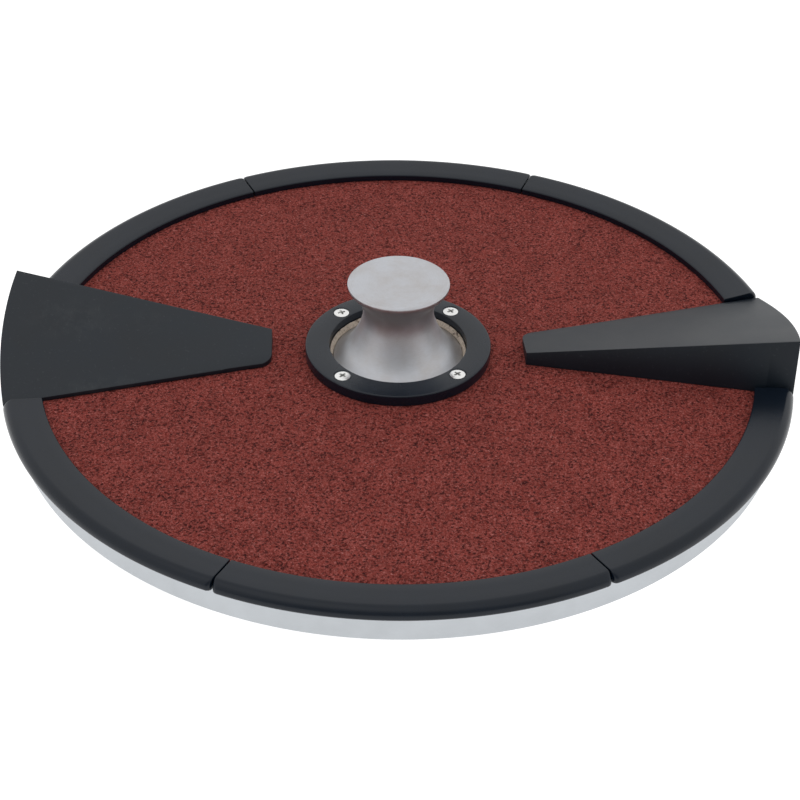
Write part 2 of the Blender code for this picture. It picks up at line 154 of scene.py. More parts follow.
def tidy_normals(mesh):
    """Merges doubled points and turns every face outwards."""
    bm = bmesh.new()
    bm.from_mesh(mesh)
    bmesh.ops.remove_doubles(bm, verts=bm.verts, dist=1e-7)
    bmesh.ops.recalc_face_normals(bm, faces=bm.faces)
    bm.to_mesh(mesh)
    bm.free()


def lathe(name, profile, steps, closed=True):
    """Surface turned about Z from a profile of (radius, height) in mm."""
    count = len(profile)
    angles = np.linspace(0.0, math.tau, steps, endpoint=False)
    verts = []
    for a in angles:
        for r, z in profile:
            verts.append((r * math.cos(a) * MM, r * math.sin(a) * MM, z * MM))
    faces = []
    last = count if closed else count - 1
    for i in range(steps):
        j = (i + 1) % steps
        for k in range(last):
            m = (k + 1) % count
            faces.append((i * count + k, i * count + m, j * count + m, j * count + k))
    mesh = to_mesh(name, verts, faces)
    tidy_normals(mesh)
    return mesh


def arc(centre, radius, start, end, steps):
    points = []
    for i in range(steps + 1):
        a = math.radians(start + (end - start) * i / steps)
        points.append((centre[0] + radius * math.cos(a), centre[1] + radius * math.sin(a)))
    return points


def rounded(points, radii, steps=4):
    """Closed outline with its corners rounded; radii pairs with points, 0 keeps a corner."""
    result = []
    count = len(points)
    for i, (point, radius) in enumerate(zip(points, radii)):
        here = Vector(point)
        if radius <= 0.0:
            result.append(tuple(here))
            continue
        before = (Vector(points[i - 1]) - here).normalized()
        after = (Vector(points[(i + 1) % count]) - here).normalized()
        half = before.angle(after) * 0.5
        reach = radius / math.tan(half)
        start, end = here + before * reach, here + after * reach
        for s in range(steps + 1):
            t = s / steps
            result.append(tuple((1 - t) ** 2 * start + 2 * t * (1 - t) * here + t * t * end))
    return result


def cylinder_cutter(positions, radius, bottom, top, sides=32, top_radius=None):
    bm = bmesh.new()
    for x, y in positions:
        place = Matrix.Translation((x * MM, y * MM, (bottom + top) * 0.5 * MM))
        bmesh.ops.create_cone(
            bm, cap_ends=True, segments=sides, radius1=radius * MM,
            radius2=(top_radius or radius) * MM, depth=(top - bottom) * MM, matrix=place)
    mesh = bpy.data.meshes.new("cutter")
    bm.to_mesh(mesh)
    bm.free()
    return mesh


def carve(mesh, *cutters):
    """The mesh with the cutter meshes taken out of it."""
    scene = bpy.context.scene
    obj = bpy.data.objects.new("carve_body", mesh)
    scene.collection.objects.link(obj)
    tools = []
    for number, cutter in enumerate(cutters):
        tool = bpy.data.objects.new(f"carve_tool_{number}", cutter)
        scene.collection.objects.link(tool)
        tools.append(tool)
        step = obj.modifiers.new("cut", "BOOLEAN")
        step.operation = "DIFFERENCE"
        step.solver = "EXACT"
        step.object = tool
    depsgraph = bpy.context.evaluated_depsgraph_get()
    result = bpy.data.meshes.new_from_object(obj.evaluated_get(depsgraph))
    for item in (obj, *tools):
        bpy.data.objects.remove(item, do_unlink=True)
    return result


def on_circle(radius, angles):
    return [(radius * math.cos(math.radians(a)), radius * math.sin(math.radians(a)))
            for a in angles]


# ------------------------------------------------------------------ material helpers
class Nodes:
    """Small helper that builds a procedural material."""

    def __init__(self, name):
        self.mat = bpy.data.materials.new(name)
        self.mat.use_nodes = True
        self.tree = self.mat.node_tree
        self.shader = self.tree.nodes["Principled BSDF"]
        self.coords = self.add("ShaderNodeTexCoord").outputs["Object"]

    def add(self, kind, **values):
        node = self.tree.nodes.new(kind)
        for key, value in values.items():
            setattr(node, key, value)
        return node

    def link(self, source, target):
        self.tree.links.new(source, target)

    def put(self, node, key, value):
        if isinstance(value, bpy.types.NodeSocket):
            self.link(value, node.inputs[key])
        elif isinstance(value, tuple):
            node.inputs[key].default_value = (*value, 1.0)
        else:
            node.inputs[key].default_value = value

    def scaled(self, scale, rotation=(0.0, 0.0, 0.0), source=None):
        node = self.add("ShaderNodeMapping")
        node.inputs["Scale"].default_value = scale
        node.inputs["Rotation"].default_value = rotation
        self.link(source or self.coords, node.inputs["Vector"])
        return node.outputs["Vector"]

    def noise(self, scale, detail=2.0, rough=0.5, source=None):
        node = self.add("ShaderNodeTexNoise")
        node.inputs["Scale"].default_value = scale
        node.inputs["Detail"].default_value = detail
        node.inputs["Roughness"].default_value = rough
        self.link(source or self.coords, node.inputs["Vector"])
        return node.outputs["Fac"]

    def ramp(self, value, stops):
        node = self.add("ShaderNodeValToRGB")
        elements = node.color_ramp.elements
        while len(elements) < len(stops):
            elements.new(0.5)
        for element, (position, colour) in zip(elements, stops):
            element.position = position
            if isinstance(colour, (int, float)):
                colour = (colour, colour, colour)
            element.color = (*colour, 1.0)
        self.link(value, node.inputs["Fac"])
        return node.outputs["Color"]

    def mix(self, factor, first, second, mode="MIX"):
        node = self.add("ShaderNodeMix", data_type="RGBA", blend_type=mode)
        for index, value in ((MIX_FACTOR, factor), (MIX_FIRST, first), (MIX_SECOND, second)):
            if isinstance(value, bpy.types.NodeSocket):
                self.link(value, node.inputs[index])
            elif index == MIX_FACTOR:
                node.inputs[index].default_value = value
            else:
                node.inputs[index].default_value = (*value, 1.0)
        return node.outputs[MIX_RESULT]

    def math(self, operation, first, second=0.0, clamp=False):
        node = self.add("ShaderNodeMath", operation=operation, use_clamp=clamp)
        for index, value in ((0, first), (1, second)):
            if isinstance(value, bpy.types.NodeSocket):
                self.link(value, node.inputs[index])
            else:
                node.inputs[index].default_value = value
        return node.outputs[0]

    def spread(self, value, low, high):
        """Maps 0..1 to low..high."""
        node = self.add("ShaderNodeMapRange")
        node.inputs["To Min"].default_value = low
        node.inputs["To Max"].default_value = high
        self.link(value, node.inputs["Value"])
        return node.outputs["Result"]

    def bump(self, height, distance, strength=1.0):
        node = self.add("ShaderNodeBump")
        node.inputs["Distance"].default_value = distance
        node.inputs["Strength"].default_value = strength
        self.link(height, node.inputs["Height"])
        return node.outputs["Normal"]

    def near(self, centre, size):
        """1 at a point in the row frame, falling to 0 at the given distances, in metres."""
        shifted = self.add("ShaderNodeVectorMath", operation="SUBTRACT")
        self.link(self.coords, shifted.inputs[0])
        shifted.inputs[1].default_value = centre
        stretched = self.add("ShaderNodeVectorMath", operation="DIVIDE")
        self.link(shifted.outputs[0], stretched.inputs[0])
        stretched.inputs[1].default_value = size
        length = self.add("ShaderNodeVectorMath", operation="LENGTH")
        self.link(stretched.outputs[0], length.inputs[0])
        return self.math("SUBTRACT", 1.0, length.outputs["Value"], clamp=True)

    def finish(self, colour, roughness, normal=None, metallic=0.0, specular=0.5):
        self.put(self.shader, "Base Color", colour)
        self.put(self.shader, "Roughness", roughness)
        self.shader.inputs["Metallic"].default_value = metallic
        self.shader.inputs["IOR"].default_value = 1.5
        self.shader.inputs["Specular IOR Level"].default_value = specular
        if normal is not None:
            self.link(normal, self.shader.inputs["Normal"])
        return self.mat


# ------------------------------------------------------------------ materials
def abrasive_material():
    n = Nodes("abrasive_fibre")
    warp = n.noise(420.0, 2.0, 0.6)
    warped = n.add("ShaderNodeVectorMath", operation="MULTIPLY_ADD")
    shift = n.add("ShaderNodeTexNoise")
    shift.inputs["Scale"].default_value = 380.0
    shift.inputs["Detail"].default_value = 1.0
    n.link(n.coords, shift.inputs["Vector"])
    n.link(shift.outputs["Color"], warped.inputs[0])
    warped.inputs[1].default_value = (0.0035, 0.0035, 0.0035)
    n.link(n.coords, warped.inputs[2])
    curl = warped.outputs[0]
    strands_a = n.noise(1.0, 3.0, 0.65, n.scaled((1500.0, 820.0, 900.0), (0, 0, 0.5), curl))
    strands_b = n.noise(1.0, 3.0, 0.65, n.scaled((820.0, 1500.0, 900.0), (0, 0, 0.9), curl))
    strands_c = n.noise(1.0, 3.0, 0.65, n.scaled((1400.0, 860.0, 900.0), (0, 0, 2.2), curl))
    fibres = n.math("MAXIMUM", n.math("MAXIMUM", strands_a, strands_b), strands_c)
    grit = n.noise(950.0, 3.0, 0.7)
    # painted shade: dark pits where the relief dips stand in for the mat's self-shadowing
    shaded_pits = n.ramp(n.noise(760.0, 3.0, 0.62), ((0.34, 0.0), (0.50, 1.0)))
    mottle = n.noise(90.0, 3.0, 0.6)
    cloud = n.noise(14.0, 2.0, 0.5)
    base = n.ramp(fibres, (
        (0.44, (0.125, 0.017, 0.013)), (0.56, (0.265, 0.052, 0.042)),
        (0.66, (0.400, 0.122, 0.106)), (0.80, (0.580, 0.300, 0.275))))
    base = n.mix(n.spread(grit, 0.0, 0.45), base, (0.100, 0.019, 0.017))
    # painted shade: the pits are coloured near-black red
    base = n.mix(shaded_pits, (0.045, 0.011, 0.011), base)
    base = n.mix(0.40, base, n.ramp(mottle, ((0.3, 0.62), (0.7, 1.25))), "MULTIPLY")
    base = n.mix(0.15, base, n.ramp(cloud, ((0.3, 0.85), (0.7, 1.10))), "MULTIPLY")
    height = n.math("ADD", fibres, n.math("MULTIPLY", shaded_pits, 0.5))
    normal = n.bump(height, 0.0007, 0.9)
    return n.finish(base, n.spread(warp, 0.82, 0.98), normal, specular=0.06)


def polymer_material(name, colour, rough, scuffs=(), specks=0.0, grain=0.00002,
                     specular=0.5):
    n = Nodes(name)
    broad = n.noise(35.0, 3.0, 0.6)
    fine = n.noise(1800.0, 2.0, 0.6)
    tone = n.ramp(broad, ((0.3, tuple(c * 0.86 for c in colour)),
                          (0.7, tuple(c * 1.16 for c in colour))))
    if specks:
        dots = n.ramp(n.noise(700.0, 1.0, 0.5), ((0.66, 0.0), (0.74, 1.0)))
        tone = n.mix(n.math("MULTIPLY", dots, specks), tone, (0.16, 0.17, 0.18))
    rough_out = n.spread(broad, rough - 0.05, rough + 0.07)
    for centre, size, turn in scuffs:
        area = n.near(centre, size)
        lines = n.noise(1.0, 4.0, 0.75, n.scaled((2600.0, 95.0, 300.0), (0, 0, turn)))
        marks = n.ramp(lines, ((0.60, 0.0), (0.68, 1.0)))
        patches = n.ramp(n.noise(160.0, 3.0, 0.6), ((0.42, 0.0), (0.62, 1.0)))
        worn = n.math("MULTIPLY", area, n.math("MULTIPLY", marks, patches))
        haze = n.math("MULTIPLY", area, n.math("MULTIPLY", patches, 0.05))
        worn = n.math("ADD", n.math("MULTIPLY", worn, 0.30), haze, clamp=True)
        tone = n.mix(worn, tone, (0.20, 0.21, 0.20))
    height = n.math("ADD", fine, n.math("MULTIPLY", n.noise(240.0, 2.0), 0.6))
    return n.finish(tone, rough_out, n.bump(height, grain), specular=specular)


def turned_metal(name, colour, rough, lines=0.00002, tint=(0.9, 0.86, 0.82)):
    """Metal with fine marks that run round the Z axis."""
    n = Nodes(name)
    split = n.add("ShaderNodeSeparateXYZ")
    n.link(n.coords, split.inputs[0])
    radius = n.math("SQRT", n.math(
        "ADD", n.math("MULTIPLY", split.outputs[0], split.outputs[0]),
        n.math("MULTIPLY", split.outputs[1], split.outputs[1])))
    along = n.add("ShaderNodeCombineXYZ")
    n.link(n.math("MULTIPLY", radius, 5200.0), along.inputs[0])
    n.link(n.math("MULTIPLY", split.outputs[2], 5200.0), along.inputs[1])
    angle = n.math("ARCTAN2", split.outputs[1], split.outputs[0])
    n.link(n.math("MULTIPLY", angle, 7.0), along.inputs[2])
    marks = n.noise(1.0, 3.0, 0.6, along.outputs[0])
    stains = n.noise(70.0, 4.0, 0.65)
    tone = n.ramp(stains, ((0.3, tuple(c * t for c, t in zip(colour, tint))), (0.62, colour)))
    tone = n.mix(0.5, tone, n.ramp(marks, ((0.3, 0.84), (0.7, 1.08))), "MULTIPLY")
    rough_out = n.math("ADD", n.spread(marks, rough - 0.06, rough + 0.08),
                       n.spread(stains, -0.03, 0.05))
    return n.finish(tone, rough_out, n.bump(marks, lines, 0.6), metallic=1.0)


def plain_metal(name, colour, rough, grain_scale=900.0, depth=0.00002, metallic=1.0):
    n = Nodes(name)
    grain = n.noise(grain_scale, 3.0, 0.6)
    wear = n.noise(60.0, 3.0, 0.6)
    tone = n.ramp(wear, ((0.3, tuple(c * 0.9 for c in colour)), (0.7, colour)))
    return n.finish(tone, n.spread(wear, rough - 0.04, rough + 0.08),
                    n.bump(grain, depth, 0.5), metallic=metallic)


def gasket_material():
    n = Nodes("gasket_tan")
    weave = n.noise(900.0, 3.0, 0.7)
    dirt = n.noise(230.0, 3.0, 0.7)
    tone = n.ramp(weave, ((0.3, (0.42, 0.34, 0.26)), (0.7, (0.72, 0.62, 0.52))))
    tone = n.mix(n.ramp(dirt, ((0.58, 0.0), (0.68, 1.0))), tone, (0.05, 0.03, 0.025))
    return n.finish(tone, 0.9, n.bump(weave, 0.0002, 0.8), specular=0.2)


def rubber_material():
    n = Nodes("foot_black")
    grain = n.noise(1100.0, 2.0, 0.6)
    tone = n.ramp(grain, ((0.3, (0.012, 0.012, 0.013)), (0.7, (0.026, 0.026, 0.027))))
    return n.finish(tone, 0.8, n.bump(grain, 0.00008), specular=0.35)


abrasive = abrasive_material()
trim_black = polymer_material("trim_black", (0.0030, 0.0064, 0.0125), 0.24, specular=0.29)
ramp_scuffs = (
    ((-0.168, 0.012, 0.032), (0.030, 0.018, 0.012), 1.1),
    ((-0.150, -0.030, 0.019), (0.030, 0.010, 0.006), 0.5),
    ((-0.128, 0.014, 0.026), (0.016, 0.012, 0.010), 1.9),
)
ramp_black = polymer_material("ramp_black", (0.0030, 0.0070, 0.0125), 0.46, ramp_scuffs, 0.05,
                              specular=0.40)
ring_black = polymer_material("ring_black", (0.0040, 0.0080, 0.0150), 0.26, grain=0.00001,
                              specular=0.34)
skirt_grey = plain_metal("skirt_grey", (0.525, 0.55, 0.575), 0.42, 700.0, 0.00001)
knob_satin = turned_metal("knob_satin", (0.535, 0.545, 0.575), 0.45)
screw_bright = plain_metal("screw_bright", (0.84, 0.84, 0.83), 0.24, 1500.0, 0.00001)
hidden_steel = plain_metal("hidden_steel", (0.52, 0.53, 0.54), 0.35)
bronze = turned_metal("bush_bronze", (0.62, 0.42, 0.20), 0.30, tint=(0.8, 0.78, 0.7))
spindle_steel = turned_metal("spindle_ground", (0.56, 0.57, 0.58), 0.22)
cast_grey = plain_metal("cast_grey", (0.16, 0.17, 0.18), 0.55, 500.0, 0.00025, 0.0)
gasket_tan = gasket_material()
foot_black = rubber_material()

# ------------------------------------------------------------------ plate
side_middle = 0.5 * (RAMP_CLEAR + 90.0 - TRIM_JOINT)
middles = (90.0, 270.0, side_middle, 180.0 - side_middle, 180.0 + side_middle,
           360.0 - side_middle)
rim_points = on_circle(
    RIM_SCREW_CIRCLE, [m + s * RIM_SCREW_SPREAD for m in middles for s in (-1.0, 1.0)])
ramp_points = [(s * x, s * y) for s in (1.0, -1.0) for x, y in RAMP_SCREWS]
ring_points = on_circle(RING_SCREW_CIRCLE, (45.0, 135.0, 225.0, 315.0))
knob_points = on_circle(KNOB_SCREW_CIRCLE, (0.0, 90.0, 180.0, 270.0))

plate_corners = [
    (PLATE_OUTER, up(PLATE_RIM_TOP)), (PLATE_OUTER, up(SKIRT_BOTTOM)),
    (SKIRT_INNER, up(SKIRT_BOTTOM)), (SKIRT_INNER, up(PLATE_UNDERSIDE)),
    (PLATE_BORE, up(PLATE_UNDERSIDE)), (PLATE_BORE, up(PLATE_FLOOR)),
    (PLATE_RIM_INNER, up(PLATE_FLOOR)), (PLATE_RIM_INNER, up(PLATE_RIM_TOP)),
]
plate_profile = rounded(plate_corners, (0.9, 0.8, 0.8, 1.5, 0.3, 0.3, 0.0, 0.3))
plate_mesh = carve(
    lathe("carrier_plate_look", plate_profile, 256),
    cylinder_cutter(rim_points, TRIM_SCREW_HOLE, up(HOLE_BOTTOM), up(2.3)),
    cylinder_cutter(ramp_points, SCREW_HOLE, up(HOLE_BOTTOM), up(5.0)),
    cylinder_cutter(ring_points, SCREW_HOLE, up(HOLE_BOTTOM), up(RING_HOLE_TOP)),
    cylinder_cutter(knob_points, SCREW_HOLE, up(HOLE_BOTTOM), up(KNOB_HOLE_TOP)))
smooth(plate_mesh)
make_object("carrier_plate_look", plate_mesh, skirt_grey, ["carrier_plate"])


# ------------------------------------------------------------------ abrasive mat
def value_noise(x, y, cell, rng):
    """Smooth random height field sampled at x, y; cell is its grain in mm."""
    span = int(2.0 * WHEEL_RADIUS / cell) + 4
    grid = rng.random((span, span)) * 2.0 - 1.0
    u, v = (x + WHEEL_RADIUS) / cell, (y + WHEEL_RADIUS) / cell
    i, j = np.floor(u).astype(int), np.floor(v).astype(int)
    fu, fv = u - i, v - j
    fu, fv = fu * fu * (3 - 2 * fu), fv * fv * (3 - 2 * fv)
    low = grid[i, j] * (1 - fu) + grid[i + 1, j] * fu
    high = grid[i, j + 1] * (1 - fu) + grid[i + 1, j + 1] * fu
    return low * (1 - fv) + high * fv


def mat_mesh():
    """Flat ring whose top has a fine random relief, weaker towards both edges."""
    rng = np.random.default_rng(7)
    steps = 720
    radii = []
    r = MAT_INNER
    while r < MAT_OUTER:
        radii.append(r)
        r += 0.85 + 0.35 * (r - MAT_INNER) / (MAT_OUTER - MAT_INNER)
    radii.append(MAT_OUTER)
    radii = np.array(radii)
    angles = np.linspace(0.0, math.tau, steps, endpoint=False)
    rr, aa = np.meshgrid(radii, angles, indexing="ij")
    x, y = rr * np.cos(aa), rr * np.sin(aa)
    z = 0.16 * value_noise(x, y, 1.1, rng) + 0.10 * value_noise(x, y, 2.6, rng)
    z += 0.07 * value_noise(x, y, 9.0, rng) - 0.05
    edge = np.clip(np.minimum(rr - MAT_INNER, MAT_OUTER - rr) / 2.0, 0.0, 1.0)
    z *= 0.3 + 0.7 * edge
    rings = len(radii)
    verts = np.stack([x, y, up(0.0) + np.minimum(z, 0.2)], -1).reshape(-1, 3)
    lower = []
    for radius in (MAT_INNER, MAT_OUTER):
        lower.append(np.stack([radius * np.cos(angles), radius * np.sin(angles),
                               np.full(steps, up(SEAT))], -1))
    verts = np.concatenate([verts, *lower]) * MM
    faces = []
    for i in range(rings - 1):
        for j in range(steps):
            k = (j + 1) % steps
            faces.append((i * steps + j, (i + 1) * steps + j, (i + 1) * steps + k,
                          i * steps + k))
    base_in, base_out = rings * steps, (rings + 1) * steps
    top_out = (rings - 1) * steps
    for j in range(steps):
        k = (j + 1) % steps
        faces.append((j, k, base_in + k, base_in + j))
        faces.append((top_out + k, top_out + j, base_out + j, base_out + k))
        faces.append((base_in + j, base_in + k, base_out + k, base_out + j))
    mesh = to_mesh("abrasive_mat_look", verts, faces)
    mesh.shade_smooth()
    return mesh


make_object("abrasive_mat_look", mat_mesh(), abrasive, ["abrasive_mat"])

# ------------------------------------------------------------------ edge trim
trim_section = arc((181.3, 2.93), 0.8, 180.0, 90.0 + TRIM_SLOPE, 5)
trim_section += [(186.0, 4.25), (190.6, 4.76)]
trim_section += arc((195.5, 0.8), 4.5, 90.0 + TRIM_SLOPE, 0.0, 14)
trim_section += arc((198.8, 0.7), 1.2, 0.0, -90.0, 4)
trim_section += [(186.4, -0.5), (186.0, GAP), (TRIM_INNER, GAP)]


def inset(section, amount):
    """The section drawn in by an amount, in mm."""
    points = np.array(section)
    ahead = np.roll(points, -1, 0) - points
    ahead /= np.linalg.norm(ahead, axis=1)[:, None]
    behind = np.roll(ahead, 1, 0)
    tangent = ahead + behind
    tangent /= np.linalg.norm(tangent, axis=1)[:, None]
    normal = np.stack([tangent[:, 1], -tangent[:, 0]], -1)
    return points + normal * amount


def corner(depth, radius):
    """How far a rounded end corner draws back at a depth from the end face, in mm."""
    if depth >= radius:
        return 0.0
    return radius - math.sqrt(radius ** 2 - (radius - depth) ** 2)


def trim_mesh(name, span):
    """Trim segment about the X axis: crisp ends, rounded at the outer side only."""
    half = math.radians(span * 0.5)
    length = 2 * half * TRIM_MIDDLE
    depths = [0.0, 0.04, 0.12, 0.25, 0.5, 0.85, 1.3, 1.8, 2.4]
    inner_span = np.linspace(depths[-1], length - depths[-1], 72)[1:-1]
    layout = depths + list(inner_span) + [length - d for d in reversed(depths)]
    count = len(trim_section)
    verts, faces = [], []
    for distance in layout:
        depth = min(distance, length - distance)
        angle = -half + distance / TRIM_MIDDLE
        bulge = TRIM_BULGE * max(0.0, math.cos(angle / half * math.pi * 0.5)) ** 0.5
        for r, z in inset(trim_section, corner(depth, TRIM_END_CORNER)):
            outer = min(1.0, max(0.0, (r - TRIM_BLEND_START) / TRIM_BLEND_WIDTH))
            r = r + (bulge - TRIM_BULGE - corner(depth, TRIM_OUTER_CORNER)) * outer
            verts.append((r * math.cos(angle) * MM, r * math.sin(angle) * MM, up(z) * MM))
    for i in range(len(layout) - 1):
        for k in range(count):
            m = (k + 1) % count
            faces.append((i * count + k, i * count + m, (i + 1) * count + m,
                          (i + 1) * count + k))
    faces.append(tuple(range(count)))
    faces.append(tuple(reversed(range((len(layout) - 1) * count, len(layout) * count))))
    mesh = to_mesh(name, verts, faces)
    tidy_normals(mesh)
    smooth(mesh, 40.0)
    return mesh


end_span = 2.0 * (TRIM_JOINT - TRIM_JOINT_GAP)
side_span = 90.0 - TRIM_JOINT - TRIM_JOINT_GAP - RAMP_CLEAR
side_shift = -0.5 * TRIM_JOINT_GAP
for name, span, middle in (
        ("trim_back", end_span, 90.0),
        ("trim_front", end_span, 270.0),
        ("trim_back_right", side_span, side_middle + side_shift),
        ("trim_back_left", side_span, 180.0 - side_middle - side_shift),
        ("trim_front_left", side_span, 180.0 + side_middle + side_shift),
        ("trim_front_right", side_span, 360.0 - side_middle - side_shift)):
    mesh = trim_mesh(f"{name}_look", span)
    mesh.transform(Matrix.Rotation(math.radians(middle), 4, "Z"))
    make_object(f"{name}_look", mesh, trim_black, [name])

# ------------------------------------------------------------------ ramps
# radius and height of the underside, from the inner end (None) to the outer one
ramp_sole = [(radius, GAP) for radius in (None, 90.0, 110.0, 130.0, 150.0, 170.0, 186.0)]
ramp_sole += [(186.4, -0.5), (198.0, -0.5), (RAMP_OUTER, 0.8)]


def ramp_line(t):
    """Inner and outer end of the ramp's line at t: 0 at the steep side, 1 at the low one."""
    side = 2.0 * t - 1.0
    inner_y, outer_y = RAMP_HALF_INNER * side, RAMP_HALF_OUTER * side
    past = max(0.0, inner_y - (RAMP_HALF_INNER - RAMP_CORNER))
    inner_x = RAMP_INNER_X + RAMP_CORNER - math.sqrt(RAMP_CORNER ** 2 - past ** 2)
    outer_x = math.sqrt(RAMP_OUTER ** 2 - outer_y ** 2)
    return (inner_x, inner_y), (outer_x, outer_y)


def along(x, inner, outer):
    """A value that changes evenly from the ramp's inner end to its outer one."""
    return inner + (outer - inner) * (x - RAMP_INNER_X) / (RAMP_OUTER_X - RAMP_INNER_X)


def ramp_point(t, radius):
    """Where the line at t crosses a radius."""
    (x0, y0), (x1, y1) = ramp_line(t)
    if radius is None:
        return x0, y0
    dx, dy = x1 - x0, y1 - y0
    a, b = dx * dx + dy * dy, x0 * dx + y0 * dy
    c = x0 * x0 + y0 * y0 - radius * radius
    s = (-b + math.sqrt(b * b - a * c)) / a
    return x0 + s * dx, y0 + s * dy


def ramp_height(t, x):
    ridge = along(x, RAMP_RIDGE_INNER, RAMP_RIDGE_OUTER)
    return ridge + (RAMP_LOW_EDGE - ridge) * t


def ramp_mesh():
    steps = [i / RAMP_COLUMNS for i in range(RAMP_COLUMNS + 1)]
    rings = []
    for radius, sole in ramp_sole:
        ring = []
        for t in steps:
            x, y = ramp_point(t, radius)
            ring.append((x, y, up(sole)))
        for t in reversed(steps):
            x, y = ramp_point(t, radius)
            height = ramp_height(t, x)
            leant = y + (1.0 - t) * along(x, RAMP_LEAN_INNER, RAMP_LEAN_OUTER)
            ring.append((math.sqrt(x * x + y * y - leant * leant), leant, up(height)))
        rings.append(ring)
    count = len(rings[0])
    verts = [tuple(c * MM for c in v) for ring in rings for v in ring]
    faces = []
    for i in range(len(rings) - 1):
        for k in range(count):
            m = (k + 1) % count
            faces.append((i * count + k, i * count + m, (i + 1) * count + m,
                          (i + 1) * count + k))
    for first in (0, (len(rings) - 1) * count):
        for k in range(RAMP_COLUMNS):
            faces.append((first + k, first + k + 1, first + count - 2 - k,
                          first + count - 1 - k))
    mesh = to_mesh("ramp_look", verts, faces)
    tidy_normals(mesh)
    return mesh


def beveled(mesh, width, segments, angle):
    obj = bpy.data.objects.new("bevel_body", mesh)
    bpy.context.scene.collection.objects.link(obj)
    step = obj.modifiers.new("round", "BEVEL")
    step.width = width * MM
    step.segments = segments
    step.limit_method = "ANGLE"
    step.angle_limit = math.radians(angle)
    depsgraph = bpy.context.evaluated_depsgraph_get()
    result = bpy.data.meshes.new_from_object(obj.evaluated_get(depsgraph))
    bpy.data.objects.remove(obj, do_unlink=True)
    return result


for name, turn in (("ramp_right", 0.0), ("ramp_left", math.pi)):
    mesh = beveled(ramp_mesh(), RAMP_EDGE_ROUND, 3, 40.0)
    mesh.transform(Matrix.Rotation(turn, 4, "Z"))
    smooth(mesh, 30.0)
    make_object(f"{name}_look", mesh, ramp_black, [name])

# ------------------------------------------------------------------ clamp ring, gasket
ring_profile = rounded(
    [(RING_OUTER, up(RING_TOP)), (RING_OUTER, up(GAP)), (RING_INNER, up(GAP)),
     (RING_INNER, up(RING_TOP))],
    (0.9, 0.2, 0.2, 0.5))
ring_mesh = carve(
    lathe("clamp_ring_look", ring_profile, 192),
    cylinder_cutter(ring_points, SCREW_HOLE, up(HOLE_BOTTOM), up(RING_HOLE_TOP)),
    cylinder_cutter(ring_points, 2.0, up(3.4), up(RING_TOP + 0.4), 48, 5.0))
smooth(ring_mesh)
make_object("clamp_ring_look", ring_mesh, ring_black, ["clamp_ring"])


def gasket_mesh():
    """Ring whose top slopes in to the knob's foot, with a slightly uneven edge."""
    rng = np.random.default_rng(11)
    steps = 240
    wobble = np.convolve(np.tile(rng.random(steps) - 0.5, 3), np.ones(7) / 7, "same")
    wobble = wobble[steps:2 * steps]
    verts, faces = [], []
    for i in range(steps):
        a = math.tau * i / steps
        top = GASKET_TOP - 0.3 * abs(wobble[i]) * 4.0
        inner = GASKET_INNER + 0.3 * max(0.0, wobble[i]) * 2.0
        for r, z in ((GASKET_OUTER, top - 0.15), (34.6, top), (inner + 0.15, top - 2.3),
                     (inner, top - 2.5), (inner, SEAT), (GASKET_OUTER, SEAT)):
            verts.append((r * math.cos(a) * MM, r * math.sin(a) * MM, up(z) * MM))
    for i in range(steps):
        j = (i + 1) % steps
        for k in range(6):
            m = (k + 1) % 6
            faces.append((i * 6 + k, j * 6 + k, j * 6 + m, i * 6 + m))
    mesh = to_mesh("hub_gasket_look", verts, faces)
    tidy_normals(mesh)
    smooth(mesh)
    return mesh


make_object("hub_gasket_look", gasket_mesh(), gasket_tan, ["hub_gasket"])

# ------------------------------------------------------------------ knob
knob_shape = [
    (25.6, 41.2), (25.5, 40.5), (25.1, 39.5), (23.9, 38.0), (22.2, 36.2),
    (20.4, 34.0), (19.0, 31.4), (18.1, 28.2), (17.9, 24.6), (18.5, 20.8), (19.8, 16.9),
    (21.5, 12.9), (23.5, 9.0), (26.0, 5.2), (28.9, 2.1), (31.2, 0.3), (KNOB_FOOT, -0.7),
]


def through(points, per_span):
    """Smooth curve through points (Catmull-Rom)."""
    p = np.array([points[0]] + list(points) + [points[-1]], float)
    result = []
    for i in range(1, len(p) - 2):
        for s in range(per_span):
            t = s / per_span
            a, b, c, d = p[i - 1], p[i], p[i + 1], p[i + 2]
            result.append(0.5 * (2 * b + (c - a) * t + (2 * a - 5 * b + 4 * c - d) * t * t
                                 + (3 * b - a - 3 * c + d) * t ** 3))
    result.append(p[-2])
    return [tuple(v) for v in result]


knob_cap = [(0.0, KNOB_TOP), (16.0, KNOB_TOP)]
knob_cap += arc((24.4, KNOB_TOP - KNOB_RIM_ROUND), KNOB_RIM_ROUND, 90.0, 42.0, 3)
knob_cap += arc((25.2, 41.6), KNOB_RIM_ROUND, 42.0, 5.0, 3)
outside = [(r, up(z)) for r, z in knob_cap + through(knob_shape, 4)] + [(KNOB_FOOT, up(SEAT))]
inside = [(21.5, up(SEAT)), (21.5, up(5.4)), (12.8, up(11.6)), (12.8, up(30.6)),
          (0.0, up(30.6))]
knob_mesh = carve(
    lathe("lifting_knob_look", outside + inside, 160, closed=False),
    cylinder_cutter(knob_points, SCREW_HOLE, up(HOLE_BOTTOM), up(KNOB_HOLE_TOP)))
smooth(knob_mesh, 40.0)
make_object("lifting_knob_look", knob_mesh, knob_satin, ["lifting_knob"])


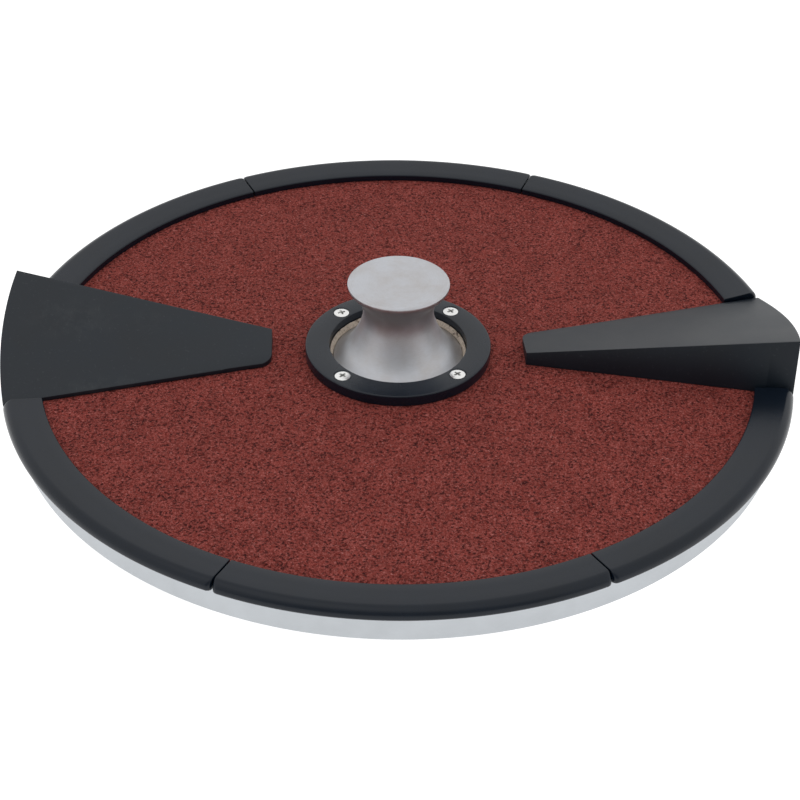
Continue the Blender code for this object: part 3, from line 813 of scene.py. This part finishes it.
# ------------------------------------------------------------------ ring screws
def slot_cutter(x, y, turn):
    """One arm of a cross recess, narrower at its bottom."""
    bm = bmesh.new()
    place = Matrix.Translation((x * MM, y * MM, up(SLOT_MIDDLE) * MM))
    spin = Matrix.Rotation(math.radians(turn), 4, "Z")
    for v in bmesh.ops.create_cube(bm, size=1.0)["verts"]:
        end = 0 if v.co.z < 0.0 else 1
        v.co.x *= SLOT_LENGTH[end] * MM
        v.co.y *= SLOT_WIDTH[end] * MM
        v.co.z *= SLOT_DEPTH * MM
        v.co = place @ spin @ v.co
    mesh = bpy.data.meshes.new("cutter")
    bm.to_mesh(mesh)
    bm.free()
    return mesh


screw_profile = [(0.0, 6.15), (1.5, 6.13), (2.8, 6.05), (3.6, 5.92), (3.95, 5.75),
                 (3.95, 5.6), (2.0, 3.7), (2.0, -8.9), (1.6, -9.3), (0.0, -9.3)]
for number, ((x, y), turn) in enumerate(zip(ring_points, RING_SCREW_TURNS), 1):
    body = lathe("screw_body", [(r, up(z)) for r, z in screw_profile], 48, closed=False)
    body.transform(Matrix.Translation((x * MM, y * MM, 0.0)))
    both = carve(body, slot_cutter(x, y, turn), slot_cutter(x, y, turn + 90.0))
    smooth(both, 30.0)
    make_object(f"ring_screw_{number}_look", both, screw_bright,
                [f"ring_screw_{number}"])

# ------------------------------------------------------------------ carried-over nodes
for name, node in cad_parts.items():
    if name.startswith(("trim_screw", "ramp_screw", "knob_screw", "ring_nut")):
        finish = hidden_steel
    elif name in ("lower_bush", "upper_bush"):
        finish = bronze
    elif name == "base_housing":
        finish = cast_grey
    elif name == "foot_ring":
        finish = foot_black
    elif name in ("drive_spindle", "drive_pin", "thrust_washer", "retaining_clip",
                  "drive_socket"):
        finish = spindle_steel
    else:
        continue
    for slot in node.material_slots:
        slot.material = finish

# ------------------------------------------------------------------ stage, light, camera
def add_floor():
    bm = bmesh.new()
    bmesh.ops.create_grid(bm, x_segments=8, y_segments=8, size=6.0)
    mesh = bpy.data.meshes.new("floor")
    bm.to_mesh(mesh)
    bm.free()
    floor = bpy.data.objects.new("floor", mesh)
    bpy.context.scene.collection.objects.link(floor)
    floor.location.z = -0.0002
    look = Nodes("floor_white")
    look.finish((0.30, 0.30, 0.30), 0.9, specular=0.0)
    look.shader.inputs["Emission Color"].default_value = (1.0, 1.0, 1.0, 1.0)
    look.shader.inputs["Emission Strength"].default_value = 0.95
    mesh.materials.append(look.mat)


def add_world():
    """White sky that turns grey on the object's front side (-Y)."""
    world = bpy.data.worlds.new("studio")
    world.use_nodes = True
    nodes, links = world.node_tree.nodes, world.node_tree.links
    sky = nodes.new("ShaderNodeTexCoord")
    split = nodes.new("ShaderNodeSeparateXYZ")
    shade = nodes.new("ShaderNodeValToRGB")
    shade.color_ramp.interpolation = "EASE"
    grey, white = shade.color_ramp.elements
    grey.position, grey.color = 0.05, (0.40, 0.40, 0.40, 1.0)
    white.position, white.color = 0.25, (1.0, 1.0, 1.0, 1.0)
    half = nodes.new("ShaderNodeMapRange")
    half.inputs["From Min"].default_value = -1.0
    links.new(sky.outputs["Generated"], split.inputs[0])
    links.new(split.outputs["Y"], half.inputs["Value"])
    links.new(half.outputs["Result"], shade.inputs["Fac"])
    # the room beyond the floor shows as plain white; the shaded sky only lights the object
    seen = nodes.new("ShaderNodeLightPath")
    plain = nodes.new("ShaderNodeMix")
    plain.data_type = "RGBA"
    plain.inputs[MIX_SECOND].default_value = (1.0, 1.0, 1.0, 1.0)
    links.new(seen.outputs["Is Camera Ray"], plain.inputs[MIX_FACTOR])
    links.new(shade.outputs["Color"], plain.inputs[MIX_FIRST])
    links.new(plain.outputs[MIX_RESULT], nodes["Background"].inputs[0])
    bpy.context.scene.world = world


def add_key_light():
    key = bpy.data.lights.new("key", "AREA")
    key.shape = "DISK"
    key.size = 1.6
    key.energy = 1.5
    light = bpy.data.objects.new("key", key)
    light.location = (-0.7, -0.5, 1.9)
    light.rotation_euler = (Vector((0, 0, 0)) - light.location).to_track_quat("-Z", "Y").to_euler()
    bpy.context.scene.collection.objects.link(light)


def add_camera():
    """Camera at the photograph's viewing angle, with a slight roll."""
    data = bpy.data.cameras.new("camera")
    data.sensor_width = 36.0
    data.lens = 78.46
    data.clip_start = 0.01
    camera = bpy.data.objects.new("camera", data)
    camera.location = (-0.03026, -0.7374, 0.5067 + MAT_TOP * MM)
    aim = Vector((-0.0005, -0.04184, MAT_TOP * MM))
    turn = (aim - camera.location).to_track_quat("-Z", "Y").to_matrix().to_4x4()
    turn = turn @ Matrix.Rotation(0.01068, 4, "Z")
    camera.rotation_euler = turn.to_euler()
    bpy.context.scene.collection.objects.link(camera)
    bpy.context.scene.camera = camera
    bpy.context.scene.view_settings.view_transform = "Standard"


add_floor()
add_world()
add_key_light()
add_camera()
